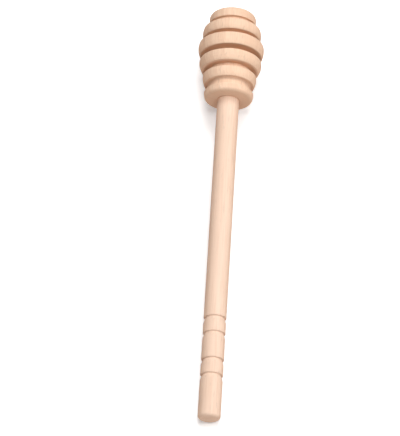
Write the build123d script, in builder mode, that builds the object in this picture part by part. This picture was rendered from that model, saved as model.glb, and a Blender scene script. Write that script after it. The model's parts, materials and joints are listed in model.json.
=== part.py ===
from build123d import *

import math
import os

# Honey dipper: a turned wooden head glued onto a grooved dowel handle.
#
# The dipper lies on a table, at rest on the crest of its widest ring and on the rim of
# its handle's end. +Z is up, +Y runs towards the head, and the origin is on the table
# under the middle of the dipper's length. Lengths are in millimetres.

# Core of the head, with the honey grooves between its rings and a longer neck
core_radius = 7.6
honey_groove_width = 2.15
neck_width = 3.0
ring_edge_break = 0.2

# Cap, the ring that forms the tip of the head. A rise is a height above the core
cap_width = 4.15
cap_rise = 1.0
cap_shoulder_round = 1.9

# The four rings behind the cap, each with its rise at the tip side and the handle side
second_ring_width = 4.25
second_ring_front_rise = 2.8
second_ring_back_rise = 2.75
second_ring_crown = 0.35

widest_ring_width = 4.55
widest_ring_front_rise = 4.2
widest_ring_back_rise = 3.8
widest_ring_crown = 0.4

fourth_ring_width = 4.0
fourth_ring_front_rise = 3.7
fourth_ring_back_rise = 2.75
fourth_ring_crown = 0.4

fifth_ring_width = 3.8
fifth_ring_front_rise = 2.15
fifth_ring_back_rise = 1.45
fifth_ring_crown = 0.3

# Collar, the rounded ring whose face the handle stands on
collar_width = 2.65
collar_front_rise = 1.45
collar_back_rise = 1.1
collar_round = 1.1

# Handle, a straight dowel with four grooves near its free end
handle_radius = 4.0
plain_shaft_length = 86.6
grip_band_pitches = [5.9, 10.0, 5.8]
end_band_pitch = 16.45
grip_groove_width = 2.0
grip_groove_wall = 0.25
grip_groove_depth = 0.6
end_dome_height = 0.3
end_rim_round = 1.0

# Joint: the handle's tenon is glued into a flat-bottomed bore, up to the shoulder
tenon_length = 18.0
tenon_shoulder = 0.5
tenon_end_chamfer = 0.4
shoulder_edge_break = 0.15
glue_thickness = 0.1
glue_pocket = 0.4
glue_setback = 1.2

# Places along the axis, counted from the tip of the cap
second_ring_start = cap_width + honey_groove_width
widest_ring_start = second_ring_start + second_ring_width + honey_groove_width
fourth_ring_start = widest_ring_start + widest_ring_width + honey_groove_width
fifth_ring_start = fourth_ring_start + fourth_ring_width + honey_groove_width
neck_start = fifth_ring_start + fifth_ring_width
collar_start = neck_start + neck_width
collar_face = collar_start + collar_width
tenon_start = collar_face - tenon_length
first_grip_groove = collar_face + plain_shaft_length
handle_end = first_grip_groove + sum(grip_band_pitches) + end_band_pitch

# Radii of the cap and the collar, and of the joint
cap_radius = core_radius + cap_rise
collar_front_radius = core_radius + collar_front_rise
collar_back_radius = core_radius + collar_back_rise
tenon_radius = handle_radius - tenon_shoulder
bore_radius = tenon_radius + glue_thickness
bore_bottom = tenon_start - glue_pocket
glue_line = collar_face - glue_setback

# Rings behind the cap: start, width, radius at the tip side and the handle side, crown
ring_sections = [
    (
        second_ring_start, second_ring_width, core_radius + second_ring_front_rise,
        core_radius + second_ring_back_rise, second_ring_crown,
    ),
    (
        widest_ring_start, widest_ring_width, core_radius + widest_ring_front_rise,
        core_radius + widest_ring_back_rise, widest_ring_crown,
    ),
    (
        fourth_ring_start, fourth_ring_width, core_radius + fourth_ring_front_rise,
        core_radius + fourth_ring_back_rise, fourth_ring_crown,
    ),
    (
        fifth_ring_start, fifth_ring_width, core_radius + fifth_ring_front_rise,
        core_radius + fifth_ring_back_rise, fifth_ring_crown,
    ),
]


def crown_arc(start, width, front_radius, back_radius, crown):
    """Outer face of a ring: an arc between its broken edges, through its crest."""
    return ThreePointArc(
        (start + ring_edge_break, front_radius),
        (start + width / 2, (front_radius + back_radius) / 2 + crown),
        (start + width - ring_edge_break, back_radius),
    )


# Rest pose: the axis dips towards the handle's end by the angle of the line that
# touches the crown arc of the widest ring and the rim round of the handle's end
widest_crown = crown_arc(*ring_sections[1])
rim_place = handle_end - end_dome_height - end_rim_round
rim_centre_radius = handle_radius - end_rim_round
support_run = rim_place - widest_crown.arc_center.X
support_drop = widest_crown.arc_center.Y - rim_centre_radius
dip = math.atan2(support_drop, support_run) + math.asin(
    (widest_crown.radius - end_rim_round) / math.hypot(support_run, support_drop)
)
tip_height = rim_place * math.sin(dip) + rim_centre_radius * math.cos(dip) + end_rim_round

# Ends of the length along Y: the low side of the cap's shoulder and the crest of the end's dome
tip_face_radius = cap_radius - cap_shoulder_round
end_dome_radius = rim_centre_radius**2 / (2 * end_dome_height) + end_dome_height / 2
tip_overhang = tip_face_radius * math.sin(dip) + cap_shoulder_round * (1 - math.cos(dip))
end_overhang = end_dome_radius * (1 - math.cos(dip))
length_in_plan = tip_overhang + handle_end * math.cos(dip) + end_overhang
tip_place = length_in_plan / 2 - tip_overhang

# Every piece is turned about this axis: X of the plane runs from the tip to the
# handle's end, and Y is the radius
tip = Vector(0, tip_place, tip_height)
towards_end = Vector(0, -math.cos(dip), -math.sin(dip))
turning_plane = Plane(origin=tip, x_dir=towards_end, z_dir=(-1, 0, 0))
turning_axis = Axis(tip, towards_end)

# Head, one turned block: cap, four crowned rings, and the collar with its bore
with BuildPart() as head:
    with BuildSketch(turning_plane):
        # Cap with a flat tip, a rounded shoulder and a broken edge
        shoulder_start = (0, tip_face_radius)
        shoulder_end = (cap_shoulder_round, cap_radius)
        with BuildLine():
            RadiusArc(shoulder_start, shoulder_end, cap_shoulder_round)
            Polyline(
                shoulder_end, (cap_width - ring_edge_break, cap_radius),
                (cap_width, cap_radius - ring_edge_break), (cap_width, 0), (0, 0), shoulder_start,
            )
        make_face()
        # Core that the rings stand on
        with BuildLine():
            Polyline(
                (cap_width, 0), (cap_width, core_radius), (collar_start, core_radius),
                (collar_start, 0), close=True,
            )
        make_face()
        # Rings with broken edges, whose outer faces bulge by their crowns
        for start, width, front_radius, back_radius, crown in ring_sections:
            with BuildLine():
                outer_face = crown_arc(start, width, front_radius, back_radius, crown)
                Polyline(
                    outer_face @ 0, (start, front_radius - ring_edge_break), (start, 0),
                    (start + width, 0), (start + width, back_radius - ring_edge_break),
                    outer_face @ 1,
                )
            make_face()
        # Collar, a little narrower towards the handle and rounded over to its face
        round_start = (collar_face - collar_round, collar_back_radius)
        round_end = (collar_face, collar_back_radius - collar_round)
        with BuildLine():
            RadiusArc(round_start, round_end, collar_round)
            Polyline(
                round_end, (collar_face, 0), (collar_start, 0),
                (collar_start, collar_front_radius - ring_edge_break),
                (collar_start + ring_edge_break, collar_front_radius), round_start,
            )
        make_face()
    revolve(axis=turning_axis)
    # Flat-bottomed bore for the tenon
    with BuildSketch(turning_plane):
        with BuildLine():
            Polyline(
                (bore_bottom, 0), (bore_bottom, bore_radius), (collar_face, bore_radius),
                (collar_face, 0), close=True,
            )
        make_face()
    revolve(axis=turning_axis, mode=Mode.SUBTRACT)
head.part.label = "head"

# Handle: its tenon, a shoulder against the collar's face, and a rounded free end
with BuildPart() as handle:
    with BuildSketch(turning_plane):
        rim_start = (rim_place, handle_radius)
        rim_end = (rim_place + end_rim_round, rim_centre_radius)
        with BuildLine():
            Polyline(
                (handle_end, 0), (tenon_start, 0),
                (tenon_start, tenon_radius - tenon_end_chamfer),
                (tenon_start + tenon_end_chamfer, tenon_radius), (collar_face, tenon_radius),
                (collar_face, handle_radius - shoulder_edge_break),
                (collar_face + shoulder_edge_break, handle_radius), rim_start,
            )
            RadiusArc(rim_start, rim_end, end_rim_round)
            RadiusArc(rim_end, (handle_end, 0), end_dome_radius)
        make_face()
    revolve(axis=turning_axis)
    # Four grooves set the grip's short and long bands. Each has a steep wall on the head's
    # side and a long slope that rises to the next band
    with BuildSketch(turning_plane):
        for band in range(len(grip_band_pitches) + 1):
            groove_start = first_grip_groove + sum(grip_band_pitches[:band])
            with BuildLine():
                Polyline(
                    (groove_start, handle_radius),
                    (groove_start + grip_groove_wall, handle_radius - grip_groove_depth),
                    (groove_start + grip_groove_width, handle_radius), close=True,
                )
            make_face()
    revolve(axis=turning_axis, mode=Mode.SUBTRACT)
handle.part.label = "handle"

# Glue bond: the cured film that fills the bore around the handle's tenon
with BuildPart() as glue_bond:
    with BuildSketch(turning_plane):
        with BuildLine():
            Polyline(
                (bore_bottom, 0), (bore_bottom, bore_radius), (glue_line, bore_radius),
                (glue_line, tenon_radius), (tenon_start + tenon_end_chamfer, tenon_radius),
                (tenon_start, tenon_radius - tenon_end_chamfer), (tenon_start, 0), close=True,
            )
        make_face()
    revolve(axis=turning_axis)
glue_bond.part.label = "glue_bond"

os.makedirs("parts", exist_ok=True)
for piece in (head, handle, glue_bond):
    export_step(piece.part, f"parts/{piece.part.label}.step")

print(f"dip {math.degrees(dip):.3f} degrees, length {handle_end:.2f}")
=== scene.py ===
import json
import math

import bmesh
import bpy
from mathutils import Matrix, Vector


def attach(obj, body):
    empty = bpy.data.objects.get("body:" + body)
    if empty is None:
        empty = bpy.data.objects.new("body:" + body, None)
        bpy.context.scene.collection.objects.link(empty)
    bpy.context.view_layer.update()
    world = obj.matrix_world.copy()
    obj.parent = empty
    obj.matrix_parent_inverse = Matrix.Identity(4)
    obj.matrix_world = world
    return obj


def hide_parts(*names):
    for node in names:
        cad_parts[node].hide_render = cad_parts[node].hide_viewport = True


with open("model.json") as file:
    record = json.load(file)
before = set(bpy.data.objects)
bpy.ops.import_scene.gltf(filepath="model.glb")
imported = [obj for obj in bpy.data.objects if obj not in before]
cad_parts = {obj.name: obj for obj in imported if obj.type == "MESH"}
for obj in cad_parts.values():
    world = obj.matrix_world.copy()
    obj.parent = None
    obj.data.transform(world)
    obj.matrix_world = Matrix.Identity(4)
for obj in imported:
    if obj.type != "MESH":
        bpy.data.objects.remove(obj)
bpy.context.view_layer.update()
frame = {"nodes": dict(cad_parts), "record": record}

# Honey dipper of bare turned beech, lying on a pale table. Lengths are in metres.

# Core of the head, with the honey grooves between its rings and a longer neck
core_radius = 0.0076
honey_groove_width = 0.00215
neck_width = 0.003
groove_cove = 0.0003
neck_cove = 0.0011
ring_edge_round = 0.0002

# Cap at the tip of the head
cap_width = 0.00415
cap_radius = 0.0086
cap_shoulder = 0.0019

# Rings behind the cap: width, radius at the tip side and at the handle side, crown
rings = [
    (0.00425, 0.0104, 0.01035, 0.00035),
    (0.00455, 0.0118, 0.0114, 0.0004),
    (0.004, 0.0113, 0.01035, 0.0004),
    (0.0038, 0.00975, 0.00905, 0.0003),
]

# Collar, whose face the handle stands on
collar_width = 0.00265
collar_front_radius = 0.00905
collar_back_radius = 0.0087
collar_round = 0.0011

# Handle, with the radius and the length of the frame's own shaft mount
shaft_mount = next(m for m in frame["record"]["mounts"] if m["name"] == "plain_shaft")
handle_radius = shaft_mount["dims"]["r_mm"] / 1000
plain_shaft_length = shaft_mount["dims"]["length_mm"] / 1000
shoulder_edge_break = 0.00015
grip_band_pitches = (0.0059, 0.01, 0.0058)
end_band_pitch = 0.01645
grip_groove_width = 0.002
grip_groove_wall = 0.00025
grip_groove_depth = 0.0006
grip_groove_edge = 0.00015
grip_groove_foot = 0.0001
grip_groove_fade = 0.0004

# Free end of the handle. Its dome has lost the drop share of its height at the radius share
end_dome_height = 0.0003
end_dome_drop_share = 0.3
end_dome_radius_share = 0.55
end_rim_round = 0.001

# Joint: the tenon in its bore, with the glue around it
tenon_length = 0.018
tenon_shoulder = 0.0005
tenon_end_chamfer = 0.0004
glue_thickness = 0.0001
glue_pocket = 0.0004

# Places along the axis, counted from the tip
ring_starts = [cap_width + honey_groove_width]
for width, *_ in rings[:-1]:
    ring_starts.append(ring_starts[-1] + width + honey_groove_width)
neck_start = ring_starts[-1] + rings[-1][0]
collar_start = neck_start + neck_width
collar_face = collar_start + collar_width
shaft_start = collar_face + shoulder_edge_break
first_grip_groove = shaft_start + plain_shaft_length
handle_end = first_grip_groove + sum(grip_band_pitches) + end_band_pitch
tenon_start = collar_face - tenon_length
tenon_radius = handle_radius - tenon_shoulder
bore_radius = tenon_radius + glue_thickness
bore_bottom = tenon_start - glue_pocket

# The dipper's own axis in the frame, from its tip towards the handle's end
towards_end = Vector(shaft_mount["axis"]).normalized()
tip = Vector(shaft_mount["pos_m"]) - towards_end * (shaft_start + plain_shaft_length / 2)
across = Vector((1, 0, 0))
outwards = towards_end.cross(across)
dip = math.atan2(-towards_end.z, -towards_end.y)

# Fineness of the turned meshes, and the weight of their flat faces in smooth shading
head_steps = 256
handle_steps = 144
crown_steps = 8
longest_edge = 0.0006
round_step = 0.0002
fewest_round_steps = 3
place_tolerance = 0.00005
merge_distance = 0.000001
crisp_weight = 100


def on_section(place, radius):
    """The point of the upright section at this place along the axis and this radius."""
    return tip + towards_end * place + outwards * radius


def stands_on(vert, corners):
    """Whether a vertex stands on one of these corners of the outline."""
    return any((vert.co - on_section(*corner)).length < place_tolerance for corner in corners)


def lies_on_axis(edge):
    """Whether an edge lies on the turning axis."""
    return all((vert.co - tip).cross(towards_end).length < place_tolerance for vert in edge.verts)


def bow(start, end, height):
    """Points between two corners, on a parabola that stands this high at its middle."""
    return [
        (
            start[0] + (end[0] - start[0]) * share,
            start[1] + (end[1] - start[1]) * share + 4 * height * share * (1 - share),
        )
        for share in (step / crown_steps for step in range(1, crown_steps))
    ]


def made_object(mesh, name):
    """The object of this name that a finished bmesh makes."""
    data = bpy.data.meshes.new(name)
    mesh.to_mesh(data)
    mesh.free()
    made = bpy.data.objects.new(name, data)
    bpy.context.scene.collection.objects.link(made)
    return made


def turn(name, outline, rounds, steps):
    """A piece turned from its outline of (place, radius) corners, which starts and ends on the axis.

    rounds holds (width, corners), the corners that are rounded over by that width.
    """
    mesh = bmesh.new()
    mesh.faces.new([mesh.verts.new(on_section(*corner)) for corner in outline])
    for width, corners in rounds:
        bmesh.ops.bevel(
            mesh, geom=[vert for vert in mesh.verts if stands_on(vert, corners)], offset=width,
            affect="VERTICES", segments=max(fewest_round_steps, round(width / round_step)),
            profile=0.5, material=-1,
        )
    bmesh.ops.delete(mesh, geom=mesh.faces[:], context="FACES_ONLY")
    bmesh.ops.delete(mesh, geom=[edge for edge in mesh.edges if lies_on_axis(edge)], context="EDGES")
    for edge in mesh.edges[:]:
        cuts = int(edge.calc_length() / longest_edge)
        if cuts:
            bmesh.ops.subdivide_edges(mesh, edges=[edge], cuts=cuts)
    bmesh.ops.spin(
        mesh, geom=mesh.verts[:] + mesh.edges[:], cent=tip, axis=towards_end,
        angle=2 * math.pi, steps=steps, use_merge=True, use_duplicate=False,
    )
    bmesh.ops.remove_doubles(mesh, verts=mesh.verts, dist=merge_distance)
    bmesh.ops.recalc_face_normals(mesh, faces=mesh.faces)
    piece = made_object(mesh, name)
    piece.data.shade_smooth()
    crisp = piece.modifiers.new("crisp_edges", "WEIGHTED_NORMAL")
    crisp.weight = crisp_weight
    return piece


def turned_head():
    """The head: cap, four crowned rings, neck and collar, with the bore for the tenon."""
    cap_corner = (0, cap_radius)
    outline = [(0, 0), cap_corner, (cap_width, cap_radius)]
    ring_edges = [(cap_width, cap_radius)]
    groove_feet = [(cap_width, core_radius)]
    for start, (width, front_radius, back_radius, crown) in zip(ring_starts, rings):
        front = (start, front_radius)
        back = (start + width, back_radius)
        outline += [(start - honey_groove_width, core_radius), (start, core_radius)]
        outline += [front, *bow(front, back, crown), back]
        ring_edges += [front, back]
        groove_feet += [(start, core_radius), (start + width, core_radius)]
    neck_foot = (neck_start, core_radius)
    groove_feet.remove(neck_foot)
    collar_foot = (collar_start, core_radius)
    collar_edge = (collar_start, collar_front_radius)
    collar_corner = (collar_face, collar_back_radius)
    outline += [
        neck_foot, collar_foot, collar_edge, collar_corner,
        (collar_face, bore_radius), (bore_bottom, bore_radius), (bore_bottom, 0),
    ]
    rounds = [
        (cap_shoulder, [cap_corner]),
        (groove_cove, groove_feet + [collar_foot]),
        (neck_cove, [neck_foot]),
        (ring_edge_round, ring_edges + [collar_edge]),
        (collar_round, [collar_corner]),
    ]
    return turn("turned_head", outline, rounds, head_steps)


def dowel_handle():
    """The handle: tenon, shoulder, plain shaft, four grip grooves and the rounded end."""
    outline = [
        (tenon_start, 0), (tenon_start, tenon_radius - tenon_end_chamfer),
        (tenon_start + tenon_end_chamfer, tenon_radius), (collar_face, tenon_radius),
        (collar_face, handle_radius - shoulder_edge_break), (shaft_start, handle_radius),
    ]
    groove_edges, groove_feet, groove_fades = [], [], []
    for band in range(len(grip_band_pitches) + 1):
        start = first_grip_groove + sum(grip_band_pitches[:band])
        edge = (start, handle_radius)
        foot = (start + grip_groove_wall, handle_radius - grip_groove_depth)
        fade = (start + grip_groove_width, handle_radius)
        outline += [edge, foot, fade]
        groove_edges.append(edge)
        groove_feet.append(foot)
        groove_fades.append(fade)
    rim = (handle_end - end_dome_height, handle_radius)
    dome_side = (
        handle_end - end_dome_height * end_dome_drop_share, handle_radius * end_dome_radius_share,
    )
    outline += [rim, dome_side, (handle_end, 0)]
    rounds = [
        (grip_groove_edge, groove_edges), (grip_groove_foot, groove_feet),
        (grip_groove_fade, groove_fades), (end_rim_round, [rim]),
    ]
    return turn("dowel_handle", outline, rounds, handle_steps)


# Figure of the beech. A noise has its repeats per metre across and along the grain, its detail
# and its offset. A range is what a value is spread out from, and a share is how much it shows,
# but the rings' along share is how much they waver along the grain beside across it
tone_noise = (60, 12, 2, 3.1)
tone_range = (0.35, 0.65)
tone_share = 0.4
growth_ring_repeats = 90
growth_ring_along_share = 0.12
growth_ring_waviness = 1.2
growth_ring_detail = 2
growth_ring_detail_scale = 1.5
growth_ring_range = (0.55, 1.0)
growth_ring_share = 0.6
fibre_noise = (1900, 75, 3, 7.7)
fibre_range = (0.42, 0.68)
fibre_share = 0.7
ray_fleck_noise = (1300, 240, 1, 12.9)
ray_fleck_range = (0.63, 0.73)
ray_fleck_share = 0.4
turning_mark_repeats = 5200
turning_mark_detail = 2
turning_mark_range = (0.5, 0.7)
turning_mark_share = 0.14
end_grain_share = 0.6

# Finish of the sanded beech
relief_strength = 0.25
relief_depth = 0.00003
fibre_roughness = (0.58, 0.74)
beech_refraction = 1.4
beech_specular_level = 0.3

# The two blanks of beech: their colours, where the pith lies beside the turning axis, and
# the turn of the figure about that axis in radians
head_blank = {
    "light": (0.97, 0.70, 0.515),
    "dark": (0.87, 0.58, 0.405),
    "end_grain": (0.68, 0.465, 0.335),
    "pith": (0.031, 0, 0.012),
    "figure_turn": 0.6,
}
handle_blank = {
    "light": (0.97, 0.725, 0.57),
    "dark": (0.87, 0.61, 0.455),
    "end_grain": (0.75, 0.56, 0.44),
    "pith": (0.043, 0, -0.02),
    "figure_turn": 2.2,
}

# Cured wood glue
glue_light = (0.62, 0.47, 0.26)
glue_dark = (0.50, 0.35, 0.17)
glue_lump_repeats = 900
glue_roughness = 0.35


def add_node(tree, kind, inputs, **settings):
    """A new node with its settings, and with a link or a value on each of these inputs."""
    made = tree.nodes.new(kind)
    for setting, value in settings.items():
        setattr(made, setting, value)
    for socket, value in inputs.items():
        if isinstance(value, bpy.types.NodeSocket):
            tree.links.new(value, made.inputs[socket])
        else:
            made.inputs[socket].default_value = value
    return made


def spread(tree, value, low, high):
    """The value spread from low..high to 0..1, with soft ends."""
    ends = {"Value": value, "From Min": low, "From Max": high}
    return add_node(tree, "ShaderNodeMapRange", ends, interpolation_type="SMOOTHSTEP").outputs["Result"]


def blend(tree, amount, below, above, share):
    """Two colours, mixed by the amount times a share."""
    strength = add_node(tree, "ShaderNodeMath", {0: amount, 1: share}, operation="MULTIPLY")
    mixed = {"Factor": strength.outputs["Value"], "A": below, "B": above}
    return add_node(tree, "ShaderNodeMix", mixed, data_type="RGBA").outputs["Result"]


def grain_noise(tree, figure, across_repeats, along_repeats, detail, offset):
    """Noise drawn out along the grain, with its sizes in repeats per metre."""
    sizes = {
        "Vector": figure, "Scale": (across_repeats, along_repeats, across_repeats),
        "Location": (offset, offset, offset),
    }
    scaled = add_node(tree, "ShaderNodeMapping", sizes, vector_type="POINT")
    noise = {"Vector": scaled.outputs["Vector"], "Scale": 1, "Detail": detail}
    return add_node(tree, "ShaderNodeTexNoise", noise).outputs["Fac"]


def growth_rings(tree, figure):
    """Growth rings about the pith, a few millimetres apart and gently wavy."""
    squeezed = add_node(
        tree, "ShaderNodeMapping", {"Vector": figure, "Scale": (1, growth_ring_along_share, 1)},
        vector_type="POINT",
    )
    waves = {
        "Vector": squeezed.outputs["Vector"], "Scale": growth_ring_repeats,
        "Distortion": growth_ring_waviness, "Detail": growth_ring_detail,
        "Detail Scale": growth_ring_detail_scale,
    }
    return add_node(
        tree, "ShaderNodeTexWave", waves, wave_type="RINGS", rings_direction="Y", wave_profile="SAW",
    ).outputs["Fac"]


def turning_marks(tree, grain):
    """Marks that follow the lathe tool along the profile, on sides and faces alike."""
    parts = add_node(tree, "ShaderNodeSeparateXYZ", {"Vector": grain})
    flat = add_node(
        tree, "ShaderNodeCombineXYZ", {"X": parts.outputs["X"], "Z": parts.outputs["Z"]},
    )
    radius = add_node(
        tree, "ShaderNodeVectorMath", {0: flat.outputs["Vector"]}, operation="LENGTH",
    )
    run = add_node(
        tree, "ShaderNodeMath", {0: radius.outputs["Value"], 1: parts.outputs["Y"]},
        operation="SUBTRACT",
    )
    noise = {
        "W": run.outputs["Value"], "Scale": turning_mark_repeats, "Detail": turning_mark_detail,
    }
    return add_node(tree, "ShaderNodeTexNoise", noise, noise_dimensions="1D").outputs["Fac"]


def end_grain_facing(tree, normal):
    """1 where the surface is cut across the fibres, falling off to 0 along them."""
    facing = add_node(
        tree, "ShaderNodeVectorMath", {0: normal, 1: towards_end}, operation="DOT_PRODUCT",
    )
    steep = add_node(tree, "ShaderNodeMath", {0: facing.outputs["Value"]}, operation="ABSOLUTE")
    return add_node(
        tree, "ShaderNodeMath", {0: steep.outputs["Value"], 1: 2}, operation="POWER",
    ).outputs["Value"]


def wood_relief(tree, fibres, marks):
    """The fine relief of the fibres, with the turning marks over it."""
    relief = {"Strength": relief_strength, "Distance": relief_depth, "Height": fibres}
    fibre_bump = add_node(tree, "ShaderNodeBump", relief)
    relief = {**relief, "Height": marks, "Normal": fibre_bump.outputs["Normal"]}
    return add_node(tree, "ShaderNodeBump", relief).outputs["Normal"]


def wood(name, light, dark, end_grain, pith, figure_turn):
    """Bare sanded beech, solid all through: rings, ray flecks, fibres and turning marks."""
    material = bpy.data.materials.new(name)
    material.use_nodes = True
    tree = material.node_tree
    light, dark, end_grain = ((*colour, 1) for colour in (light, dark, end_grain))

    # The grain is the piece's own place with Y along the axis, and the figure lies about the pith
    place = add_node(tree, "ShaderNodeTexCoord", {})
    straight = {"Vector": place.outputs["Object"], "Location": tip, "Rotation": (dip, 0, 0)}
    grain = add_node(tree, "ShaderNodeMapping", straight, vector_type="TEXTURE").outputs["Vector"]
    about_pith = {"Vector": grain, "Rotation": (0, figure_turn, 0), "Location": pith}
    figure = add_node(tree, "ShaderNodeMapping", about_pith, vector_type="POINT").outputs["Vector"]

    tone = spread(tree, grain_noise(tree, figure, *tone_noise), *tone_range)
    growth = spread(tree, growth_rings(tree, figure), *growth_ring_range)
    fibres = grain_noise(tree, figure, *fibre_noise)
    flecks = spread(tree, grain_noise(tree, figure, *ray_fleck_noise), *ray_fleck_range)
    marks = turning_marks(tree, grain)
    facing = end_grain_facing(tree, place.outputs["Normal"])

    colour = blend(tree, tone, light, dark, tone_share)
    colour = blend(tree, growth, colour, dark, growth_ring_share)
    colour = blend(tree, spread(tree, fibres, *fibre_range), colour, dark, fibre_share)
    colour = blend(tree, flecks, colour, end_grain, ray_fleck_share)
    colour = blend(tree, spread(tree, marks, *turning_mark_range), colour, end_grain, turning_mark_share)
    colour = blend(tree, facing, colour, end_grain, end_grain_share)
    smoothest, roughest = fibre_roughness
    matt = {"Value": fibres, "To Min": smoothest, "To Max": roughest}
    roughness = add_node(tree, "ShaderNodeMapRange", matt).outputs["Result"]

    shader = tree.nodes["Principled BSDF"]
    tree.links.new(colour, shader.inputs["Base Color"])
    tree.links.new(roughness, shader.inputs["Roughness"])
    tree.links.new(wood_relief(tree, fibres, marks), shader.inputs["Normal"])
    shader.inputs["IOR"].default_value = beech_refraction
    shader.inputs["Specular IOR Level"].default_value = beech_specular_level
    return material


def cured_glue():
    """Cured wood glue, amber and slightly uneven, hidden in the joint."""
    material = bpy.data.materials.new("cured_glue")
    material.use_nodes = True
    tree = material.node_tree
    place = add_node(tree, "ShaderNodeTexCoord", {})
    lumps = add_node(
        tree, "ShaderNodeTexNoise", {"Vector": place.outputs["Object"], "Scale": glue_lump_repeats},
    )
    mixed = {"Factor": lumps.outputs["Fac"], "A": (*glue_light, 1), "B": (*glue_dark, 1)}
    amber = add_node(tree, "ShaderNodeMix", mixed, data_type="RGBA")
    shader = tree.nodes["Principled BSDF"]
    tree.links.new(amber.outputs["Result"], shader.inputs["Base Color"])
    shader.inputs["Roughness"].default_value = glue_roughness
    return material


# Table and room. The table's tint is what it throws back on the dipper, and its lift is the
# glow that makes it white to the camera beside the shadow
white = (1, 1, 1, 1)
table_reach = 2.0
table_tint = (0.58, 0.45, 0.37)
table_lift = 0.35
room_level = 0.03

# Soft lamps over the dipper, to its right, behind its tip and low in front of its handle,
# each with the level at which it alone would light a white sheet, and its direction
lamps = {
    "overhead_lamp": (0.34, Vector((0, 0, 1))),
    "tip_lamp": (0.52, Vector((0, 0.5, 0.87))),
    "right_lamp": (0.34, Vector((0.6, 0, 0.8))),
    "front_lamp": (0.34, Vector((0, -0.98, 0.2))),
}
lamp_distance = 1.2
lamp_size = 0.6


def shown_white(tree):
    """1 on the rays that see a white background: the camera's, and those off gloss or in glass."""
    paths = add_node(tree, "ShaderNodeLightPath", {})
    seen = paths.outputs["Is Camera Ray"]
    for ray in ("Is Glossy Ray", "Is Transmission Ray"):
        either = add_node(tree, "ShaderNodeMath", {0: seen, 1: paths.outputs[ray]}, operation="MAXIMUM")
        seen = either.outputs["Value"]
    return seen


def table():
    """The pale table, white to the camera and in reflections, which keeps the dipper's shadow."""
    mesh = bmesh.new()
    bmesh.ops.create_grid(mesh, x_segments=1, y_segments=1, size=table_reach)
    top = made_object(mesh, "table")
    material = bpy.data.materials.new("pale_table")
    material.use_nodes = True
    tree = material.node_tree
    tree.nodes.clear()
    seen = shown_white(tree)
    shades = {"Factor": seen, "A": (*table_tint, 1), "B": white}
    shade = add_node(tree, "ShaderNodeMix", shades, data_type="RGBA")
    paper = add_node(tree, "ShaderNodeBsdfDiffuse", {"Color": shade.outputs["Result"]})
    lift = add_node(tree, "ShaderNodeMath", {0: seen, 1: table_lift}, operation="MULTIPLY")
    glow = add_node(tree, "ShaderNodeEmission", {"Strength": lift.outputs["Value"]})
    both = add_node(tree, "ShaderNodeAddShader", {0: paper.outputs["BSDF"], 1: glow.outputs["Emission"]})
    add_node(tree, "ShaderNodeOutputMaterial", {"Surface": both.outputs["Shader"]})
    top.data.materials.append(material)


def room():
    """White all round for the camera and in reflections, and an even dimmer light for the rest."""
    world = bpy.data.worlds.new("room")
    bpy.context.scene.world = world
    world.use_nodes = True
    tree = world.node_tree
    levels = {"Value": shown_white(tree), "To Min": room_level, "To Max": 1}
    level = add_node(tree, "ShaderNodeMapRange", levels)
    background = tree.nodes["Background"]
    background.inputs["Color"].default_value = white
    tree.links.new(level.outputs["Result"], background.inputs["Strength"])


def lamp(name, level, direction):
    """A soft round lamp in this direction, aimed at the dipper's middle."""
    data = bpy.data.lights.new(name, "AREA")
    data.shape = "DISK"
    data.size = lamp_size
    data.energy = level * math.pi ** 2 * lamp_distance ** 2
    source = bpy.data.objects.new(name, data)
    source.location = direction.normalized() * lamp_distance
    source.rotation_mode = "QUATERNION"
    source.rotation_quaternion = direction.to_track_quat("Z", "Y")
    bpy.context.scene.collection.objects.link(source)


# Camera, fitted to the photograph. It stands in the dipper's own upright plane and aims at a
# point of it, measured in the picture's plane from the widest ring's edge
view_tilt = math.radians(25.394)
view_pan = math.radians(0.42)
view_roll = math.radians(3.466)
camera_distance = 1.05239
aim_below_ring = 0.059356
camera_lens = 236.89
nearest_seen = 0.01
farthest_seen = 10


def camera():
    """The camera looks down along the dipper from its handle's side."""
    ring_edge = tip + towards_end * (ring_starts[1] + rings[1][0])
    forward = -towards_end * math.sin(view_tilt) - outwards * math.cos(view_tilt)
    down = forward.cross(across)
    stand = ring_edge + down * aim_below_ring - forward * camera_distance
    right = across * math.cos(view_pan) + forward * math.sin(view_pan)
    forward = forward * math.cos(view_pan) - across * math.sin(view_pan)
    rolled_right = right * math.cos(view_roll) - down * math.sin(view_roll)
    rolled_down = right * math.sin(view_roll) + down * math.cos(view_roll)
    data = bpy.data.cameras.new("camera")
    data.lens = camera_lens
    data.clip_start = nearest_seen
    data.clip_end = farthest_seen
    view = bpy.data.objects.new("camera", data)
    turned = Matrix((rolled_right, -rolled_down, -forward)).transposed()
    view.matrix_world = Matrix.Translation(stand) @ turned.to_4x4()
    bpy.context.scene.collection.objects.link(view)
    bpy.context.scene.camera = view


head = turned_head()
head.data.materials.append(wood("head_beech", **head_blank))
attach(head, "root")
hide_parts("head")

handle = dowel_handle()
handle.data.materials.append(wood("handle_beech", **handle_blank))
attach(handle, "root")
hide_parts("handle")

glue_data = frame["nodes"]["glue_bond"].data
glue_data.materials.clear()
glue_data.materials.append(cured_glue())

table()
room()
for name, (level, direction) in lamps.items():
    lamp(name, level, direction)
camera()
bpy.context.scene.view_settings.view_transform = "Standard"
